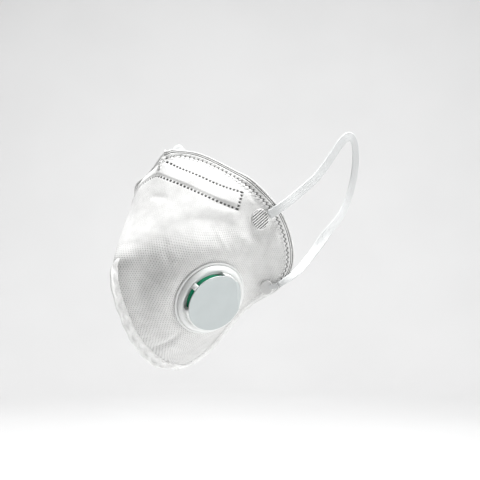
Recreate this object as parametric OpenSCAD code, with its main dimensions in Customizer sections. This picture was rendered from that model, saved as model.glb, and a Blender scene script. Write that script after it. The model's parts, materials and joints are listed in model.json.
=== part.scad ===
// Vertical-fold dust mask with an exhalation valve and two elastic ear loops,
// in the open shape that it takes on a face.
// Axes: +X towards the wearer's left, +Y towards the face, +Z up.
// Origin: in the middle of the face opening.

/* [Sheets] */
// Thickness of the outer nonwoven cover
cover_thick = 0.5; // [0.3:0.05:0.6]
// Thickness of the melt-blown filter sheet
filter_thick = 0.4; // [0.3:0.05:0.5]
// Thickness of the stiffer support sheet
support_thick = 0.7; // [0.4:0.05:0.8]
// Thickness of the inner lining
lining_thick = 0.4; // [0.3:0.05:0.5]
// Air left between two sheets, so that they never cross
sheet_gap = 0.25; // [0.2:0.05:0.3]
// Room between cover and filter, where the nose wire lies
wire_room = 1.1; // [0.9:0.05:1.2]

/* [Seams] */
// Width of the welded hem round the face opening
hem_w = 5.4; // [4:0.2:6.5]
// Thickness of the welded hem
hem_thick = 1.2; // [0.8:0.1:1.6]
// Width of the welded flange under the chin
chin_seam_w = 6; // [4:0.5:8]
// Width of the short weld at the top of the nose
nose_seam_w = 1.6; // [1:0.2:2.4]
// Thickness of both welded seams
seam_thick = 1.2; // [0.8:0.1:1.4]

/* [Nose] */
// Width of the nose wire
wire_w = 4; // [3:0.5:5]
// Thickness of the nose wire
wire_thick = 0.6; // [0.4:0.1:0.7]
// Width of the foam strip inside the nose
foam_w = 11; // [8:1:13]
// Thickness of the foam strip
foam_thick = 2.4; // [1.5:0.1:3]

/* [Ear loops] */
// Width of the elastic band
band_w = 6; // [5:0.5:7]
// Thickness of the elastic band
band_thick = 1; // [0.8:0.1:1.2]
// Radius of the upper welded patch of each loop
upper_patch_r = 6.5; // [5.5:0.5:7.5]
// Radius of the lower welded patch of each loop
lower_patch_r = 4.75; // [4.5:0.25:5.5]
// Thickness of a welded patch
patch_thick = 0.8; // [0.5:0.1:1]

/* [Valve] */
// Radius of the valve's outer flange
flange_r = 24; // [23:0.5:25]
// Radius of the sleeve that passes through the sheets
sleeve_r = 17; // [16.5:0.25:17.5]
// Radius of the air port inside the sealing lip
port_r = 13.6; // [13:0.2:14]
// Radius of the cap's raised ring at its crest
cap_ring_r = 21.1; // [20.8:0.1:21.3]
// Height of the cap's raised ring above the cover
cap_ring_h = 4.5; // [4.2:0.1:4.8]
// Radius of the cap's top plate
plate_r = 18.2; // [17.8:0.1:18.4]
// Height of the cap's top plate above the cover
plate_h = 8.4; // [8.1:0.1:8.7]
// Distance from the valve's centre to the straight side of the top plate
chord_d = 15.2; // [14.8:0.1:15.4]
// Thickness of the rubber flap
flap_thick = 0.6; // [0.4:0.1:0.7]

/* [Hidden] */

white = "white";
off_white = "whitesmoke";
wire_grey = "lightgray";
flap_green = "seagreen";
plate_grey = "gainsboro";

// Everything is laid out from the top of the nose ridge, then moved by this.
nose_top = [0, -30, 66];

// Three rails shape the left half: the centre ridge, a rib half way round
// and the edge on the face. They share their two end points.
ridge = [[0, 0, 0], [0, -8, -12], [0, -17, -28], [0, -26, -43], [0, -36, -57], [0, -44, -69],
         [0, -43, -84], [0, -37, -98], [0, -27, -113.5], [0, -11, -127], [0, 12, -138]];
rib = [[0, 0, 0], [9, 1, -7], [19.5, 0, -18], [26, -1, -33], [29.5, -2, -47], [32, -1, -61],
       [33.5, 1, -76], [31, 3, -93], [23.5, 4, -108.5], [9.5, 4.5, -129.5], [0, 12, -138]];
edge = [[0, 0, 0], [15, 13.5, -2.5], [36, 22.7, -13.5], [51.5, 26, -21.5], [60.5, 37, -36],
        [64, 45, -54], [63.5, 47, -72], [57, 38.5, -88], [42, 29, -103], [16.5, 15.5, -129.5],
        [0, 12, -138]];
// How round the fold is along the ridge: open above the tip, sharp below it.
fold_round = [0.2, 0.2, 0.25, 0.25, 0.2, 0.12, 0.05, 0.05, 0.05, 0.05, 0.05];
last = len(ridge) - 1;

// Stations of the mesh along the rails, and cells across each half.
sheet_t0 = 0.5;
sheet_t1 = 9.5;
sheet_rows = 27;
sheet_cells = 14;
hem_cells = 2;
end_gap = 0.05;

// Valve seat on the left side: its centre and its outward direction.
seat_c = [31.5, 3, -90.8];
seat_dir = [0.866, -0.32, -0.385] / norm([0.866, -0.32, -0.385]);
seat_flat_r = 26;
seat_blend_r = 46;
// The flap's hinge lies across this direction, seen from outside.
hinge_angle = 18;
hinge_d = 12.6;
sleeve_depth = 5.2;
base_top = 1.5;
lip_top = 1.75;
lip_w = 1.2;
flap_z = 2.05;
flap_r = 16.6;
flap_chord = 14.2;
peg_r = 0.8;
peg_clear = 0.2;
peg_gap = 9;
window_wall = 3.7;
$fn = 96;

// --- curves and surfaces ---------------------------------------------------

function ease(x) = let (c = min(max(x, 0), 1)) c * c * (3 - 2 * c);
function unit(v) = v / norm(v);

// Catmull-Rom curve through a list of points or numbers, t counted in points.
function along(list, t) =
    let (n = len(list) - 1, i = min(max(floor(t), 0), n - 1), f = t - i,
         b = list[i], c = list[i + 1],
         a = i > 0 ? list[i - 1] : 2 * b - c,
         d = i + 2 <= n ? list[i + 2] : 2 * c - b)
    0.5 * (2 * b + (c - a) * f + (2 * a - 5 * b + 4 * c - d) * f * f
           + (3 * b - a - 3 * c + d) * f * f * f);

// Parabola through three points, w from 0 to 1.
function across(a, b, c, w) = a * (1 - w) * (1 - 2 * w) + b * 4 * w * (1 - w) + c * w * (2 * w - 1);

// Point of the outer surface. u runs from -1, the right edge, to 1, the left edge.
function form(u, t) =
    let (a = along(ridge, t), b = along(rib, t), c = along(edge, t), g = along(fold_round, t),
         w = abs(u), q = (sqrt(u * u + g * g) - g) / (sqrt(1 + g * g) - g),
         side = across(a, b, c, w), front = across(a, b, c, q))
    [sign(u) * side.x, front.y, front.z];

// Outward direction of that surface.
function outward(u, t) =
    let (h = 0.01)
    unit(cross(form(u, t + h) - form(u, t - h), form(u + h, t) - form(u - h, t)));

// Point of a sheet at height d over the outer surface. The surface is flattened
// round the valve, so that the valve sits on a plane.
function skin(u, t, d) =
    let (p = form(u, t), r = norm(cross(p - seat_c, seat_dir)),
         w = u > 0 ? 1 - ease((r - seat_flat_r) / (seat_blend_r - seat_flat_r)) : 0)
    p + (1 - w) * d * outward(u, t) + w * (d - (p - seat_c) * seat_dir) * seat_dir;

// Outward direction of the finished skin.
function skin_out(u, t) =
    let (h = 0.01)
    unit(cross(skin(u, t + h, 0) - skin(u, t - h, 0), skin(u + h, t, 0) - skin(u - h, t, 0)));

// Where the hem starts, as a part of the way from the ridge to the edge.
function hem_start(t) =
    let (a = along(ridge, t), b = along(rib, t), c = along(edge, t))
    1 - hem_w / (norm(b - a) + norm(c - b));

// --- meshes ----------------------------------------------------------------

// Closed slab over a grid of [u, t] pairs, between the heights top and bottom.
module slab(grid, top, bottom) {
    rows = len(grid);
    cols = len(grid[0]);
    half = rows * cols;
    points = [for (d = [top, bottom], row = grid, c = row) skin(c[0], c[1], d)];
    rim = concat([for (j = [0:cols - 2]) [j, j + 1]],
                 [for (i = [0:rows - 2]) [i * cols + cols - 1, (i + 1) * cols + cols - 1]],
                 [for (j = [cols - 1:-1:1]) [(rows - 1) * cols + j, (rows - 1) * cols + j - 1]],
                 [for (i = [rows - 1:-1:1]) [i * cols, (i - 1) * cols]]);
    faces = concat(
        [for (i = [0:rows - 2], j = [0:cols - 2]) let (k = i * cols + j) each
            [[k, k + 1, k + cols + 1], [k, k + cols + 1, k + cols],
             [half + k, half + k + cols + 1, half + k + 1],
             [half + k, half + k + cols, half + k + cols + 1]]],
        [for (e = rim) each [[e[0], half + e[0], half + e[1]], [e[0], half + e[1], e[1]]]]);
    polyhedron(points, faces);
}

// Closed slab over a ring of stations.
module ring_slab(stations, top, bottom) {
    rows = len(stations);
    cols = len(stations[0]);
    half = rows * cols;
    points = [for (d = [top, bottom], row = stations, c = row) skin(c[0], c[1], d)];
    faces = [for (i = [0:rows - 1]) let (a = i * cols, b = ((i + 1) % rows) * cols, e = cols - 1) each
        concat(
            [for (j = [0:cols - 2]) each
                [[a + j, b + j, b + j + 1], [a + j, b + j + 1, a + j + 1],
                 [half + a + j, half + b + j + 1, half + b + j],
                 [half + a + j, half + a + j + 1, half + b + j + 1]]],
            [[a, half + b, b], [a, half + a, half + b],
             [a + e, b + e, half + b + e], [a + e, half + b + e, half + a + e]])];
    polyhedron(points, faces);
}

// Tube or strip through rings of points, closed at both ends.
module sweep(rings) {
    n = len(rings[0]);
    m = len(rings);
    faces = concat([[for (j = [n - 1:-1:0]) j]],
        [for (i = [0:m - 2], j = [0:n - 1]) let (k = (j + 1) % n) each
            [[i * n + j, i * n + k, (i + 1) * n + k], [i * n + j, (i + 1) * n + k, (i + 1) * n + j]]],
        [[for (j = [0:n - 1]) (m - 1) * n + j]]);
    polyhedron([for (r = rings, p = r) p], faces);
}

function row_t(i) = sheet_t0 + (sheet_t1 - sheet_t0) * i / (sheet_rows - 1);

// Grid of one whole sheet, between the two hems.
function sheet_grid() =
    [for (i = [0:sheet_rows - 1]) let (t = row_t(i), s = hem_start(t))
        [for (j = [-sheet_cells:sheet_cells]) [s * j / sheet_cells, t]]];

// One station of the hem, from its outer point to its inner point.
function hem_station(outer, inner) =
    [for (k = [0:hem_cells]) outer + (inner - outer) * k / hem_cells];

// Stations all round the hem: down the left side, over the chin seam, up the
// right side and over the top of the nose.
function hem_ring() =
    let (n = sheet_cells, s0 = hem_start(sheet_t0), s1 = hem_start(sheet_t1), rows = sheet_rows)
    concat(
        [for (i = [0:rows - 1]) let (t = row_t(i)) hem_station([1, t], [hem_start(t), t])],
        [for (j = [n - 1:-1:1 - n]) hem_station(
            [sign(j), last - max(end_gap, (last - sheet_t1) * abs(j) / n)], [s1 * j / n, sheet_t1])],
        [for (i = [rows - 1:-1:0]) let (t = row_t(i)) hem_station([-1, t], [-hem_start(t), t])],
        [for (j = [1 - n:n - 1]) hem_station(
            [sign(j), max(end_gap, sheet_t0 * abs(j) / n)], [s0 * j / n, sheet_t0])]);

// --- sheets ------------------------------------------------------------------

cover_bottom = -cover_thick;
filter_top = cover_bottom - wire_room;
filter_bottom = filter_top - filter_thick;
support_top = filter_bottom - sheet_gap;
support_bottom = support_top - support_thick;
lining_top = support_bottom - sheet_gap;
lining_bottom = lining_top - lining_thick;

module at_nose_top() { translate(nose_top) children(); }

// Frame of the valve: z outwards, y as near to up as it can be.
module at_seat() {
    y = unit([0, 0, 1] - seat_dir.z * seat_dir);
    x = cross(y, seat_dir);
    multmatrix([[x.x, y.x, seat_dir.x, seat_c.x],
                [x.y, y.y, seat_dir.y, seat_c.y],
                [x.z, y.z, seat_dir.z, seat_c.z]])
        children();
}

// One sheet with the valve's hole through it.
module sheet(top, bottom) {
    at_nose_top() difference() {
        slab(sheet_grid(), top, bottom);
        at_seat() translate([0, 0, bottom - 2]) cylinder(r = sleeve_r + 0.3, h = top - bottom + 4);
    }
}

module outer_cover() { color(white) sheet(0, cover_bottom); }

module filter_sheet() { color(off_white) sheet(filter_top, filter_bottom); }

module support_sheet() { color(off_white) sheet(support_top, support_bottom); }

module inner_lining() { color(white) sheet(lining_top, lining_bottom); }

// --- seams -------------------------------------------------------------------

module hem_weld() { color(off_white) at_nose_top() ring_slab(hem_ring(), 0, -hem_thick); }

// Flange standing out from the ridge between two stations.
module ridge_flange(t0, t1, steps, width, ramp) {
    root_gap = 0.4;
    function flange_out(t) = let (d = unit(along(ridge, t + 0.01) - along(ridge, t - 0.01)))
        [0, d.z, -d.y];
    function flange_w(t) = width * ease((t - t0) / ramp) * (0.55 + 0.45 * ease((t1 - t) / ramp)) + 0.3;
    sweep([for (i = [0:steps])
        let (t = t0 + (t1 - t0) * i / steps, a = along(ridge, t) + root_gap * flange_out(t),
             b = a + flange_w(t) * flange_out(t), h = [seam_thick / 2, 0, 0])
        [a - h, a + h, b + h, b - h]]);
}

module chin_seam() {
    color(white) at_nose_top() ridge_flange(4.9, last - 0.1, 30, chin_seam_w, 0.8);
}

module nose_seam() {
    color(white) at_nose_top() ridge_flange(0.1, 1, 6, nose_seam_w, 0.3);
}

// --- nose --------------------------------------------------------------------

// Strip that follows the line of the nose wire inside the mask.
module nose_strip(reach, width, top, bottom, steps) {
    function wire_t(u) = 0.93 + 3.6 * u * u;
    sweep([for (i = [0:steps])
        let (u = reach * (2 * i / steps - 1), t = wire_t(u), n = outward(u, t),
             run = unit(skin(u + 0.01, wire_t(u + 0.01), 0) - skin(u - 0.01, wire_t(u - 0.01), 0)),
             side = unit(cross(n, run)) * width / 2,
             a = skin(u, t, top), b = skin(u, t, bottom))
        [a - side, a + side, b + side, b - side]]);
}

module nose_wire() {
    wire_top = cover_bottom - (wire_room - wire_thick) / 2;
    color(wire_grey) at_nose_top() nose_strip(0.8, wire_w, wire_top, wire_top - wire_thick, 28);
}

module nose_foam() {
    foam_top = lining_bottom - 0.4;
    color("silver") at_nose_top() nose_strip(0.72, foam_w, foam_top, foam_top - foam_thick, 24);
}

// --- ear loops -----------------------------------------------------------------

// Route of the left band: from the upper patch over the top of the ear, down
// behind it and forward to the lower patch.
loop_route = [[58.1, 28.6, -40], [61.5, 34.2, -36], [63.2, 41.3, -31.8], [64.2, 50, -26.8],
    [65.8, 58.5, -21.3], [67.4, 66.5, -15.6], [69, 74, -8.4], [70.7, 80.5, -0.9],
    [72.3, 86, 6], [73.8, 91, 11], [74.6, 96.5, 12.6], [74.4, 101.5, 9.5], [73.4, 105, 3],
    [72.2, 106.5, -6], [71, 105.5, -16], [70.2, 102, -26], [69.8, 96.5, -34.5],
    [69.8, 89.5, -41.5], [69.4, 81.5, -47.3], [68.4, 74.5, -53.5], [67, 68, -60.5],
    [65.4, 61.5, -67], [65, 54, -72.5], [65.1, 47, -76.3], [63.4, 41, -79.8],
    [60.3, 35.6, -83.4]];
// Where the patches lie on the cover, as [u, t].
upper_patch = [0.87, 4.2];
lower_patch = [0.915, 6.82];
upper_patch_lift = 0.3;
lower_patch_lift = 0.6;

module band() {
    n = len(loop_route) - 1;
    w = band_w / 2;
    h = band_thick / 2;
    bevel = 0.3;
    face_out = [0.96, -0.28, 0];
    profile = [[w, h - bevel], [w - bevel, h], [bevel - w, h], [-w, h - bevel],
               [-w, bevel - h], [bevel - w, -h], [w - bevel, -h], [w, bevel - h]];
    sweep([for (i = [0:n])
        let (p = loop_route[i],
             run = unit(loop_route[min(i + 1, n)] - loop_route[max(i - 1, 0)]),
             wide = unit(cross(face_out, run)), flat = cross(run, wide))
        [for (c = profile) p + c[0] * wide + c[1] * flat]]);
}

// Round weld that holds one end of a band, lift over the cover, side = 1 on the left.
module patch(side, place, r, lift) {
    u = side * place[0];
    n = skin_out(u, place[1]);
    p = skin(u, place[1], 0) + lift * n;
    across_dir = unit(cross([0, 0, 1], n));
    up = cross(n, across_dir);
    multmatrix([[across_dir.x, up.x, n.x, p.x],
                [across_dir.y, up.y, n.y, p.y],
                [across_dir.z, up.z, n.z, p.z]])
        cylinder(r = r, h = patch_thick);
}

module ear_loop_left() { color(white) at_nose_top() band(); }

module ear_loop_right() { color(white) at_nose_top() mirror([1, 0, 0]) band(); }

module upper_patch_on(side) {
    color(white) at_nose_top() patch(side, upper_patch, upper_patch_r, upper_patch_lift);
}

module lower_patch_on(side) {
    color(white) at_nose_top() patch(side, lower_patch, lower_patch_r, lower_patch_lift);
}

module upper_loop_weld_left() { upper_patch_on(1); }

module lower_loop_weld_left() { lower_patch_on(1); }

module upper_loop_weld_right() { upper_patch_on(-1); }

module lower_loop_weld_right() { lower_patch_on(-1); }

// --- valve ---------------------------------------------------------------------

module at_hinge_side() { rotate([0, 0, hinge_angle]) children(); }

// Two pegs through the fixed side of the flap.
module pegs(r, z, h) {
    at_hinge_side() for (s = [-1, 1])
        translate([(hinge_d + flap_chord) / 2, s * peg_gap / 2, z]) cylinder(r = r, h = h, $fn = 32);
}

// Flange, sleeve through the sheets, sealing lip and the bar that backs the flap.
module valve_base() {
    bar_w = 1.4;
    flange_low = 0.15;
    color(white) at_nose_top() at_seat() {
        rotate_extrude() polygon([[port_r, -0.6], [sleeve_r - 1.8, -0.6],
            [sleeve_r - 1.8, -sleeve_depth], [sleeve_r, -sleeve_depth], [sleeve_r, flange_low],
            [flange_r, flange_low], [flange_r, 0.9], [flange_r - 0.5, base_top],
            [port_r + lip_w, base_top], [port_r + lip_w, lip_top], [port_r, lip_top]]);
        at_hinge_side() translate([-port_r - 0.3, -bar_w / 2, -0.6])
            cube([2 * port_r + 0.6, bar_w, 1.8]);
        pegs(peg_r, base_top - 0.5, flap_z + flap_thick + 0.6 - base_top + 0.5);
    }
}

// Green rubber disc, cut straight along its hinge.
module valve_flap() {
    color(flap_green) at_nose_top() at_seat() difference() {
        translate([0, 0, flap_z]) cylinder(r = flap_r, h = flap_thick);
        at_hinge_side() translate([flap_chord, -20, 0]) cube([10, 40, 8]);
        pegs(peg_r + peg_clear, 0, 8);
    }
}

// Ring, windows and top plate. The hinge side is closed by a sloped facet.
module valve_cap() {
    plate_thick = 0.8;
    ring_in = plate_r + 0.5;
    wall_in = 17;
    skirt_r = 22.3;
    wall_low = cap_ring_h - 2.2;
    post_turn = 52;
    closed_from = -178;
    closed_to = 64;
    facet_slope = 44;
    plate_low = plate_h - plate_thick;
    // block over or under the plane that slopes down from the chord
    module sloped(low, high, start) {
        at_hinge_side() translate([chord_d, 0, plate_h]) rotate([0, facet_slope, 0])
            translate([start, -20, low]) cube([20, 40, high - low]);
    }
    color(white) at_nose_top() at_seat() rotate_extrude()
        polygon([[wall_in, base_top], [skirt_r, base_top],
            [skirt_r, cap_ring_h - 1.6], [cap_ring_r + 0.7, cap_ring_h - 0.35],
            [cap_ring_r, cap_ring_h], [cap_ring_r - 0.7, cap_ring_h - 0.35],
            [ring_in, cap_ring_h - 1.2], [wall_in, cap_ring_h - 1.8]]);
    color(plate_grey) at_nose_top() at_seat() {
        // top plate
        translate([0, 0, plate_low]) difference() {
            cylinder(r = plate_r, h = plate_thick);
            at_hinge_side() translate([chord_d, -20, -1]) cube([10, 40, 4]);
        }
        // posts between the windows
        for (a = [-post_turn, 0]) rotate([0, 0, hinge_angle + 180 + a])
            translate([wall_in, -window_wall / 2, wall_low])
                cube([ring_in + 0.5 - wall_in, window_wall, plate_low + 0.3 - wall_low]);
        // closed wall from the last window round the lower side and the slope
        difference() {
            at_hinge_side() rotate([0, 0, closed_from]) translate([0, 0, wall_low])
                rotate_extrude(angle = closed_to - closed_from) translate([wall_in + 0.8, 0])
                    square([ring_in + 0.35 - wall_in - 0.8, plate_low + 0.2 - wall_low]);
            sloped(-plate_thick / 2, 12, -6);
        }
        // sloped facet
        intersection() {
            sloped(-plate_thick, 0, -0.1);
            translate([0, 0, wall_low]) cylinder(r1 = ring_in + 1.5, r2 = plate_r, h = plate_h - wall_low);
        }
    }
}

// Ring inside the mask that the sleeve snaps into.
module valve_backing_ring() {
    color(white) at_nose_top() at_seat() translate([0, 0, -sleeve_depth])
        rotate_extrude() polygon([[sleeve_r + 0.05, 0], [23, 0.3], [23, 1],
            [sleeve_r + 0.05, 1.4]]);
}

outer_cover();
filter_sheet();
support_sheet();
inner_lining();
hem_weld();
chin_seam();
nose_seam();
nose_wire();
nose_foam();
ear_loop_left();
ear_loop_right();
upper_loop_weld_left();
lower_loop_weld_left();
upper_loop_weld_right();
lower_loop_weld_right();
valve_base();
valve_flap();
valve_cap();
valve_backing_ring();
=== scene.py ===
"""Vertical-fold dust mask with an exhalation valve and elastic ear loops."""

import json
import math

import bpy
import numpy as np
from mathutils import Vector
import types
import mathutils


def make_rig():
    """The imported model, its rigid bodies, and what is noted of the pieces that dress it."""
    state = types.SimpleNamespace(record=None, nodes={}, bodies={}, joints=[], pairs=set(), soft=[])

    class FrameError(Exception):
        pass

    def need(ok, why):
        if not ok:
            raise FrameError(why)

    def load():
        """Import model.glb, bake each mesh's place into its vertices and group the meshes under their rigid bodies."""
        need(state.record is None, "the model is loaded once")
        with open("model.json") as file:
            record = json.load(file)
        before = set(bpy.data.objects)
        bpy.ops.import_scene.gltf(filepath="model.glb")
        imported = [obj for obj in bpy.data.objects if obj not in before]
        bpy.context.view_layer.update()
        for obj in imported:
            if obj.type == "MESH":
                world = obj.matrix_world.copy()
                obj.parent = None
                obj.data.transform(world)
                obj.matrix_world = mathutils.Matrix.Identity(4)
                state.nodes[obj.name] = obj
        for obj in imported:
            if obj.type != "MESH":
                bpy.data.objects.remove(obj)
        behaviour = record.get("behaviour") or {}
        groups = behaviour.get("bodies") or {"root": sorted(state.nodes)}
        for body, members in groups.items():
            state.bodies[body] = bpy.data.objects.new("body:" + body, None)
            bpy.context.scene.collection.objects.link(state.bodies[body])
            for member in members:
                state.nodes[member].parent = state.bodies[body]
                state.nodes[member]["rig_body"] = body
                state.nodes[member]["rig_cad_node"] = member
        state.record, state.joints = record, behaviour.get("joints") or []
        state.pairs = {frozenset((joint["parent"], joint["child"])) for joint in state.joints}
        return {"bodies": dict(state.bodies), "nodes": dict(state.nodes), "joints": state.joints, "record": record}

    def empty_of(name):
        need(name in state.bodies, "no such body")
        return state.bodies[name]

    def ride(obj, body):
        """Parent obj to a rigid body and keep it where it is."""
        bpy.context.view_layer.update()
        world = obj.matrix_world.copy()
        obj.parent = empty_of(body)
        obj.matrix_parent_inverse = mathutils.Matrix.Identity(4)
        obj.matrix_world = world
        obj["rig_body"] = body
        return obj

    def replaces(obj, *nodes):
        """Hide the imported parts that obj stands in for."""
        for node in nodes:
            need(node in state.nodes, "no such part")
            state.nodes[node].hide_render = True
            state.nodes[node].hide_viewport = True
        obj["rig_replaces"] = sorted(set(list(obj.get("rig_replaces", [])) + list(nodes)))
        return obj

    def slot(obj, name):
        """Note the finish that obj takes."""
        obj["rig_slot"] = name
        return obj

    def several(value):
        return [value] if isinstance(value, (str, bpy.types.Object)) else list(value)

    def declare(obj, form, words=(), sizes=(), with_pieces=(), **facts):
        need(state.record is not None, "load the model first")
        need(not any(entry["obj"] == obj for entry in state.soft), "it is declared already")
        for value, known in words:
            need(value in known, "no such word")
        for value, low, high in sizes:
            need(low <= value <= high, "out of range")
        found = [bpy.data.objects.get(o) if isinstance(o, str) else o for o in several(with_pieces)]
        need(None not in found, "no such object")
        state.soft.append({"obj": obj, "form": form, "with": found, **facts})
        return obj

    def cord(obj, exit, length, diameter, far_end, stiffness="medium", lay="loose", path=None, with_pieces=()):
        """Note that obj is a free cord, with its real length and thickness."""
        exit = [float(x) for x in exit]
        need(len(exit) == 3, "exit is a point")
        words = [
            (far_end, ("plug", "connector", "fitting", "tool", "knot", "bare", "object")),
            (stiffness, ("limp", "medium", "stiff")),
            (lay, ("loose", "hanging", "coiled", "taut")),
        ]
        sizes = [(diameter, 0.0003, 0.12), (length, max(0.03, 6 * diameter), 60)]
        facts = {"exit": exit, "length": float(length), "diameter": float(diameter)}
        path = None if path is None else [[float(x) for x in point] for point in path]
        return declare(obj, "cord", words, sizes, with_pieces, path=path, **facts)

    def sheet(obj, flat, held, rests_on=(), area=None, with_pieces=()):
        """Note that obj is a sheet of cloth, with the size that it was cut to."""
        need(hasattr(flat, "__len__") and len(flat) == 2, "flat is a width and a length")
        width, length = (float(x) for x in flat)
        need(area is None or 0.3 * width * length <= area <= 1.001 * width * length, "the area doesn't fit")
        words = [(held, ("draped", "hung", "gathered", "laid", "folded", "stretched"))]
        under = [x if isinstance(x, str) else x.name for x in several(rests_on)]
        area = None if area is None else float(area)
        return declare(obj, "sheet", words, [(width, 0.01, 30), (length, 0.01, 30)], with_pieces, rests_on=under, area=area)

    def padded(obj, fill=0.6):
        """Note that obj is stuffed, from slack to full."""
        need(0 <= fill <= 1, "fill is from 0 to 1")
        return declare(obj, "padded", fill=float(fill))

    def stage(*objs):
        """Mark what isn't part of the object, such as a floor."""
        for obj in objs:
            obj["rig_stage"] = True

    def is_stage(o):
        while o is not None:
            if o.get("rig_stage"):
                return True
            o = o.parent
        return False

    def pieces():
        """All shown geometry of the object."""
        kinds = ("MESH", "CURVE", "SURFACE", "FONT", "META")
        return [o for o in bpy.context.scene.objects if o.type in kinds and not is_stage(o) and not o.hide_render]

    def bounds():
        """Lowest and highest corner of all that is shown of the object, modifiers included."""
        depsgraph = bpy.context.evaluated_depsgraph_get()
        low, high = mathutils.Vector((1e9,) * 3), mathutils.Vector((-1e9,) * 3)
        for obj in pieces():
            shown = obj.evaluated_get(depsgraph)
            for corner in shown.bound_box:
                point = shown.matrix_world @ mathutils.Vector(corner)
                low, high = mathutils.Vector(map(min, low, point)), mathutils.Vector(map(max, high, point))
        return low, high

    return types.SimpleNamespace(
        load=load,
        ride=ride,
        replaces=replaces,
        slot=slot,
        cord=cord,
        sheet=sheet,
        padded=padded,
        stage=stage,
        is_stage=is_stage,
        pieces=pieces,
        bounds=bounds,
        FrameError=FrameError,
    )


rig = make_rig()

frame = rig.load()
cad_low, cad_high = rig.bounds()

# --- layout, in mm from the top of the nose ridge ---

# The sheets follow three lines from the nose to the chin: the ridge in the middle, a rib
# halfway and the edge. A place on them is (u, t): the station t counts these lines'
# points, and u runs from 0 on the ridge to 1 on the left edge and -1 on the right one.
NOSE_TOP = np.array([0.0, -30.0, 66.0])
RIDGE = [(0, 0, 0), (0, -8, -12), (0, -17, -28), (0, -26, -43), (0, -36, -57), (0, -44, -69),
         (0, -43, -84), (0, -37, -98), (0, -27, -113.5), (0, -11, -127), (0, 12, -138)]
RIB = [(0, 0, 0), (9, 1, -7), (19.5, 0, -18), (26, -1, -33), (29.5, -2, -47), (32, -1, -61),
       (33.5, 1, -76), (31, 3, -93), (23.5, 4, -108.5), (9.5, 4.5, -129.5), (0, 12, -138)]
EDGE = [(0, 0, 0), (15, 13.5, -2.5), (36, 22.7, -13.5), (51.5, 26, -21.5), (60.5, 37, -36),
        (64, 45, -54), (63.5, 47, -72), (57, 38.5, -88), (42, 29, -103), (16.5, 15.5, -129.5),
        (0, 12, -138)]
# How softly the sheets turn over the ridge at each of its points, in u.
FOLD_ROUND = np.array([0.2, 0.2, 0.25, 0.25, 0.2, 0.12, 0.05, 0.05, 0.05, 0.05, 0.05])
LAST = len(RIDGE) - 1
# The welded edge's width, and the pitch of its scallops and of the puckers beside it.
HEM_W, TOOTH_PITCH = 5.4, 3.0
SHEET_T0, SHEET_T1 = 0.5, 9.5
SHEET_CUT = (0.225, 0.155)

# The valve's flat seat on the left half: its centre, direction and size.
SEAT_C = np.array([31.5, 3.0, -90.8])
SEAT_DIR = np.array([0.866, -0.32, -0.385]) / np.linalg.norm([0.866, -0.32, -0.385])
SEAT_FLAT_R, SEAT_BLEND_R = 26.0, 46.0
HINGE_ANGLE = math.radians(18)
TURN = 2 * math.pi
SLEEVE_R = 17.0
HOLE_R = SLEEVE_R + 0.6

# Welds of the loops as (u, t), and the route of the left loop's middle line.
UPPER_PATCH, LOWER_PATCH = (0.87, 4.2), (0.915, 6.82)
LOOP_ROUTE = [
    (58.1, 28.6, -40), (61.5, 34.2, -36), (63.2, 41.3, -31.8), (64.2, 50, -26.8),
    (65.8, 58.5, -21.3), (67.4, 66.5, -15.6), (69, 74, -8.4), (70.7, 80.5, -0.9),
    (72.3, 86, 6), (73.8, 91, 11), (74.6, 96.5, 12.6), (74.4, 101.5, 9.5), (73.4, 105, 3),
    (72.2, 106.5, -6), (71, 105.5, -16), (70.2, 102, -26), (69.8, 96.5, -34.5),
    (69.8, 89.5, -41.5), (69.4, 81.5, -47.3), (68.4, 74.5, -53.5), (67, 68, -60.5),
    (65.4, 61.5, -67), (65, 54, -72.5), (65.1, 47, -76.3), (63.4, 41, -79.8),
    (60.3, 35.6, -83.4)]


# --- the same surface as the CAD sheets ---

def unit(v):
    """Vectors scaled to length 1."""
    v = np.asarray(v, float)
    return v / np.linalg.norm(v, axis=-1, keepdims=True)


def ease(x):
    """Smooth step from 0 at x = 0 to 1 at x = 1."""
    c = np.clip(x, 0, 1)
    return c * c * (3 - 2 * c)


def along(rail, t):
    """Catmull-Rom curve through a rail, t counted in points."""
    rail, t = np.asarray(rail, float), np.asarray(t, float)
    n = len(rail) - 1
    i = np.clip(np.floor(t).astype(int), 0, n - 1)
    f = (t - i)[..., None]
    b, c = rail[i], rail[i + 1]
    a = np.where((i > 0)[..., None], rail[np.maximum(i - 1, 0)], 2 * b - c)
    d = np.where((i + 2 <= n)[..., None], rail[np.minimum(i + 2, n)], 2 * c - b)
    return 0.5 * (2 * b + (c - a) * f + (2 * a - 5 * b + 4 * c - d) * f * f
                  + (3 * b - a - 3 * c + d) * f ** 3)


def across(a, b, c, w):
    """Parabola through a, b and c as w goes from 0 through 0.5 to 1."""
    return a * (1 - w) * (1 - 2 * w) + b * 4 * w * (1 - w) + c * w * (2 * w - 1)


def form(u, t):
    """Point of the smooth outer surface, in mm."""
    u, t = np.broadcast_arrays(u, t)
    a, b, c = along(RIDGE, t), along(RIB, t), along(EDGE, t)
    g = along(FOLD_ROUND[:, None], t)[..., 0]
    w = np.abs(u)
    q = (np.sqrt(u * u + g * g) - g) / (np.sqrt(1 + g * g) - g)
    side, front = across(a, b, c, w[..., None]), across(a, b, c, q[..., None])
    return np.stack([np.sign(u) * side[..., 0], front[..., 1], front[..., 2]], -1)


def outward(u, t, surface=form, h=0.01):
    """Outward direction of a surface."""
    return unit(np.cross(surface(u, t + h) - surface(u, t - h),
                         surface(u + h, t) - surface(u - h, t)))


def from_axis(p):
    """Distance of points from the valve's axis, in mm."""
    return np.linalg.norm(np.cross(p - SEAT_C, SEAT_DIR), axis=-1)


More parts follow.
